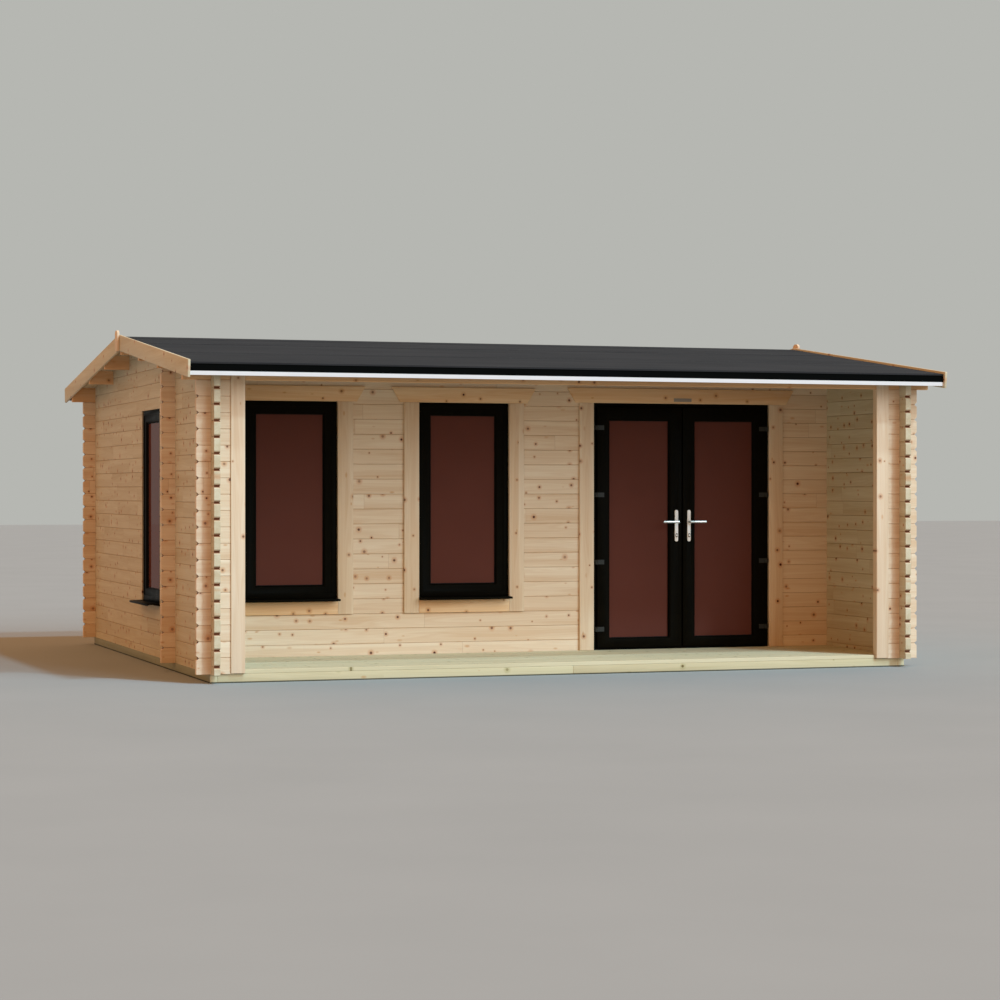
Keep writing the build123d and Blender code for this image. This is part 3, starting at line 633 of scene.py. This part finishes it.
# %% Frames, sills, leaves and handles with eased edges
for name in ("left_window_frame", "right_window_frame", "side_window_frame", "window_sills", "door_frame"):
    piece = eased(name, "eased_" + name, 2 * mm)
    paint(piece, upvc)
    show(piece, "cabin", "black_upvc", name)
for side in ("left", "right"):
    for part, body, finish, slot, radius in (("sash", "leaf", upvc, "black_upvc", 1.5 * mm),
                                             ("plates", "leaf", handle_coat, "chrome_handle", 1.5 * mm),
                                             ("lever", "lever", chrome, "chrome_handle", 2.5 * mm)):
        name = f"{side}_leaf_{part}"
        piece = eased(name, "eased_" + name, radius)
        paint(piece, finish)
        show(piece, f"{side}_{body}", slot, name)

# %% [markdown]
# The porch floor is laid in boards that run along the front, each about 112 mm wide, with a thin
# gap between them. One board is modelled, its long edges are rounded, and an array lays the rest.
# Two blocks then cut the room for the posts.

# %% Porch floor
deck_low, deck_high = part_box("porch_floor")
deck_count = 11
deck_pitch = (deck_high.y - deck_low.y) / deck_count
deck_gap = 2 * mm
post_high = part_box("porch_posts")[1]
post_room = 5 * mm
post_width = 102 * mm


def repeat(piece, count, step):
    """Lays copies of a piece side by side."""
    modify(piece, "ARRAY", count=count, use_relative_offset=False, use_constant_offset=True,
           constant_offset_displace=step)


def cut(piece, cutter):
    """Cuts one piece out of another and throws the cutter away."""
    modify(piece, "BOOLEAN", object=cutter, operation="DIFFERENCE", solver="EXACT")
    bpy.data.objects.remove(cutter)


deck = block("deck_boards", deck_low, (deck_high.x, deck_low.y + deck_pitch - deck_gap, deck_high.z))
edit(deck, "EDGE", lambda middle, way: abs(way.x) > 0.9, bevel(3 * mm))
repeat(deck, deck_count, (0, deck_pitch, 0))
inner = post_high.x - post_width - post_room
for side in (-1, 1):
    a, b = sorted((side * inner, side * (deck_high.x + post_room)))
    low, high = (a, deck_low.y - post_room, 0), (b, post_high.y + post_room, deck_high.z * 2)
    cut(deck, block("post_room", low, high))
deck_finish = timber("treated_deck_boards", "X", "Y", roughness=0.7, boards=(deck_low.y, endless),
                     gap_share=0.0, seed=47.0, **treated)
paint(deck, deck_finish)
show(deck, "cabin", "treated_timber", "porch_floor")

# %% [markdown]
# The roof is sheeted with tongued boards that run down the slope. From below each shows a small
# V along its edges. A flat board is added level with the ridge, its lower end is moved down to
# give it the slope, and its two lower edges are bevelled before it is repeated.

# %% Roof boards
roof_count = 60
roof_pitch = (roof_high.x - roof_low.x) / roof_count
tongue_gap = 0.4 * mm


def sloped(name, low, high, eave):
    """A flat block whose end at the eave is moved down by the roof's slope."""
    board = block(name, low, high)
    edit(board, "VERT", lambda place: abs(place.y - eave) < mm, shift(z=-roof_slope * (high[1] - low[1])))
    return board


for side, node in ((-1, "front_roof_boards"), (1, "back_roof_boards")):
    low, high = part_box(node)
    eave = low.y if side < 0 else high.y
    board = sloped("laid_" + node, (low.x, low.y, high.z - plumb_board),
                   (low.x + roof_pitch - tongue_gap, high.y, high.z), eave)
    middle = (low.z + high.z) / 2
    edit(board, "EDGE", lambda place, way: abs(way.y) > 0.9 and place.z < middle, bevel(5 * mm, 1))
    repeat(board, roof_count, (roof_pitch, 0, 0))
    boards_finish = timber("planed_roof_boards_" + node.split("_")[0], "Y", "X", pale_shaded_spruce, deep_shaded_spruce,
                           boards=(low.x, roof_pitch), seed=53.0 + side)
    paint(board, boards_finish)
    show(board, "cabin", "spruce_boards", node)

# %% [markdown]
# Felt comes in rolls 1 m wide, which are laid along the roof from the eave up, each lapped over
# the one below, with a last strip over the ridge. The CAD felt is one smooth sheet, so the upper
# rolls are laid on it here, each as a thin sheet with a rounded lower edge.

# %% Felt laps
felt_low, felt_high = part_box("roof_felt")
felt_thick = 4 * mm
felt_side = 2 * mm
ridge_z = roof_high.z + felt_thick / cos(roof_tilt)
lap_thick = 1.5 * mm
lap_sink = 0.2 * mm
lap_reaches = (0.94, 1.88, 2.45)


def join(name, pieces):
    """Makes several pieces one object."""
    pick_only(*pieces)
    bpy.ops.object.join()
    joined = bpy.context.active_object
    joined.name = joined.data.name = name
    return joined


laps = []
lap_edges = []
for side in (-1, 1):
    for turn, reach in enumerate(lap_reaches):
        edge = side * (felt_high.y - reach)
        low_y, high_y = sorted((edge, 0.0))
        rise = turn * lap_thick
        lap = sloped("lap", (felt_low.x + felt_side, low_y, ridge_z + rise - lap_sink),
                     (felt_high.x - felt_side, high_y, ridge_z + rise + lap_thick), edge)
        edit(lap, "EDGE", lambda middle, way: abs(way.x) > 0.9 and abs(middle.y - edge) < mm,
             bevel(0.6 * mm))
        laps.append(lap)
        lap_edges.append((side, edge, ridge_z - roof_slope * abs(edge) + rise + lap_thick))
sheets = join("felt_laps", laps)
paint(sheets, felt_finish)
show(sheets, "cabin", "roofing_felt")

# %% [markdown]
# Clout nails with broad heads hold every lap of the felt, and screws hold every porch board to the
# joists below. A head is a low cylinder whose top is drawn in and raised a little. It is modelled
# once and copied along its row, and each copy has a mesh of its own, so that changing one head
# would change no other.

# %% Nails and screws
nail_step = 100 * mm
nail_inset = 25 * mm
nail_count = int((felt_high.x - felt_low.x) / nail_step)
joist_places = (-2.2, -1.47, -0.73, 0.0, 0.73, 1.47, 2.2)
screw_shares = (0.22, 0.76)


def copy_of(piece, name, move=(0, 0, 0)):
    """A copy with its own mesh, moved in the mesh."""
    twin = piece.copy()
    twin.data = piece.data.copy()
    twin.name = twin.data.name = name
    bpy.context.scene.collection.objects.link(twin)
    twin.data.transform(Matrix.Translation(move))
    return twin


def heads(name, places, radius, rise, turn=(0, 0, 0)):
    """Low round heads, modelled once and copied to their places. Turn tips them off the level."""
    bpy.ops.object.select_all(action="DESELECT")
    bpy.ops.mesh.primitive_cylinder_add(vertices=10, radius=radius, depth=2 * rise)
    head = bpy.context.active_object
    edit(head, "FACE", lambda middle, normal: normal.z > 0.9, inset(radius * 0.35), shift(z=rise * 0.4))
    head.rotation_euler = turn
    bpy.ops.object.transform_apply(location=True, rotation=True, scale=True)
    copies = [copy_of(head, name, place) for place in places]
    bpy.data.objects.remove(head)
    return join(name, copies)


rows = []
for side in (-1, 1):
    places = [(felt_low.x + (number + 0.5) * nail_step, edge - side * nail_inset,
               top + nail_inset * roof_slope)
              for where, edge, top in lap_edges if where == side for number in range(nail_count)]
    rows.append(heads("row", places, 5 * mm, 0.6 * mm, (-side * roof_tilt, 0, 0)))
clouts = join("felt_nails", rows)
paint(clouts, lock_metal)
show(clouts, "cabin", "roofing_felt")
places = [(x, deck_low.y + (board + share) * deck_pitch, deck_high.z)
          for x in joist_places for board in range(deck_count) for share in screw_shares]
screws = heads("deck_screws", places, 3.5 * mm, 0.4 * mm)
paint(screws, steel)
show(screws, "cabin", "treated_timber")

# %% [markdown]
# Each pane is held by a bead of black rubber that is pressed in between the glass and the frame.
# A block as large as the opening is laid against the glass, a smaller one is cut out of it, and
# its front edges are rounded to a lip. The front panes face along Y and the side pane along X, so
# the bead's depth is measured along an axis that is given by its number.

# %% Rubber seals
pane_cover = 12 * mm
seal_width = 5 * mm
seal_rise = 4 * mm
beyond = 1.0


def seal(opening, body, axis):
    """A bead of rubber on the outer face of a pane, which faces the low end of an axis."""
    low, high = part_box(opening + "_pane")
    outer_low = [value + pane_cover for value in low]
    outer_high = [value - pane_cover for value in high]
    sight_low = [value + seal_width for value in outer_low]
    sight_high = [value - seal_width for value in outer_high]
    outer_low[axis] = low[axis] - seal_rise
    outer_high[axis] = low[axis]
    sight_low[axis] = low[axis] - beyond
    sight_high[axis] = low[axis] + beyond
    bead = block(opening + "_seal", outer_low, outer_high)
    cut(bead, block("sight", sight_low, sight_high))
    edit(bead, "EDGE", lambda middle, way: middle[axis] < outer_low[axis] + 0.1 * mm, bevel(1.5 * mm, 3))
    paint(bead, rubber)
    show(bead, body, "black_upvc")


for opening, body, axis in (("left_window", "cabin", 1), ("right_window", "cabin", 1),
                            ("left_leaf", "left_leaf", 1), ("right_leaf", "right_leaf", 1),
                            ("side_window", "cabin", 0)):
    seal(opening, body, axis)

# %% [markdown]
# A lock cylinder ends in an oval cover with the keyhole in it. It starts as a short cylinder that
# is scaled to an oval, has its middle pressed in for the key, and gets a rounded rim.

# %% Lock covers
spindle_height = 1.096
key_drop = 0.106
cover_size = Vector((9 * mm, 16 * mm, 6 * mm))
cover_sunk = mm
for side in ("left", "right"):
    low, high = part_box(f"{side}_leaf_plates")
    place = Vector(((low.x + high.x) / 2, low.y + cover_size.z / 2 - cover_sunk, spindle_height - key_drop))
    bpy.ops.object.select_all(action="DESELECT")
    bpy.ops.mesh.primitive_cylinder_add(vertices=24, radius=1, depth=1, rotation=(radians(90), 0, 0))
    cover = bpy.context.active_object
    cover.scale = cover_size
    bpy.ops.object.transform_apply(location=True, rotation=True, scale=True)
    cover.data.transform(Matrix.Translation(place))
    front = low.y - cover_sunk + 0.1 * mm
    edit(cover, "FACE", lambda middle, normal: normal.y < -0.9, inset(3 * mm), shift(y=1.5 * mm))
    edit(cover, "EDGE", lambda middle, way: middle.y < front, bevel(0.8 * mm))
    cover.name = cover.data.name = f"{side}_lock_cover"
    paint(cover, lock_metal)
    show(cover, f"{side}_leaf", "dark_hinge")

# %% [markdown]
# The floor is plain and pale, so that nothing draws the eye from the cabin. Its tone drifts a
# little, because a floor of one flat colour looks like paper.

# %% Floor
floor_size = 160
bpy.ops.object.select_all(action="DESELECT")
bpy.ops.mesh.primitive_plane_add(size=floor_size, location=(0, 0, 0))
floor = bpy.context.active_object
floor.name = "studio_floor"
floor_finish, tree, shader = new_material("pale_floor", "#9DA5A7", 0.9, Specular_IOR_Level=0.1)
place = add(tree, "TexCoord", output="Object")
cloud = add(tree, "TexNoise", inputs={"Vector": place, "Scale": 0.8, "Detail": 5.0})
tone = add(tree, "Mix", {"data_type": "RGBA"},
           {0: cloud, 6: linear("#99A1A3"), 7: linear("#A1A9AB")}, output=2)
tree.links.new(tone, shader.inputs["Base Color"])
floor.data.materials.append(floor_finish)
print("floor", floor_size, "m wide")

# %% [markdown]
# The light is soft and comes from high on the right: a broad sun gives most of it, and two narrower
# ones give the eave and the posts their shadows. Each sun has its tilt and turn in degrees, its
# strength, its breadth in degrees, and a colour, which is cool because the sky's fill is warm.

# %% Suns
suns = ((29, 33, 1.1, 3, (0.49, 0.79, 0.98)),
        (45, 33, 0.95, 3, (0.49, 0.79, 0.98)),
        (65, 35, 1.95, 44, (0.54, 0.81, 0.96)))
for tilt, turn, strength, breadth, color in suns:
    bpy.ops.object.light_add(type="SUN", rotation=(radians(tilt), 0, radians(turn)))
    sun = bpy.context.active_object.data
    sun.energy = strength
    sun.angle = radians(breadth)
    sun.color = color
print("lamps", [light.name for light in bpy.data.lights])

# %% [markdown]
# An even warm sky fills the shadows. The camera sees the sky as a pale backdrop instead, and so do
# gloss and glass, so that metal shows the same background as the picture. Light Path tells the
# kinds of ray apart.

# %% Sky
sky_fill = (0.82, 0.41, 0.18, 1.0)
backdrop = "#B6B7B2"
world = bpy.data.worlds.new("soft_sky")
bpy.context.scene.world = world
world.use_nodes = True
tree = world.node_tree
fill = tree.nodes["Background"]
fill.inputs["Color"].default_value = sky_fill
fill.inputs["Strength"].default_value = 1.0
seen = add(tree, "Background", inputs={"Color": linear(backdrop), "Strength": 1.0})
rays = add(tree, "LightPath").node.outputs
straight = add(tree, "Math", {"operation": "MAXIMUM"}, {0: rays["Is Camera Ray"], 1: rays["Is Glossy Ray"]})
straight = add(tree, "Math", {"operation": "MAXIMUM"}, {0: straight, 1: rays["Is Transmission Ray"]})
sky = add(tree, "MixShader", inputs={0: straight, 1: fill.outputs[0], 2: seen})
tree.links.new(sky, tree.nodes["World Output"].inputs["Surface"])
bpy.context.scene.view_settings.view_transform = "Standard"
print("backdrop", backdrop)
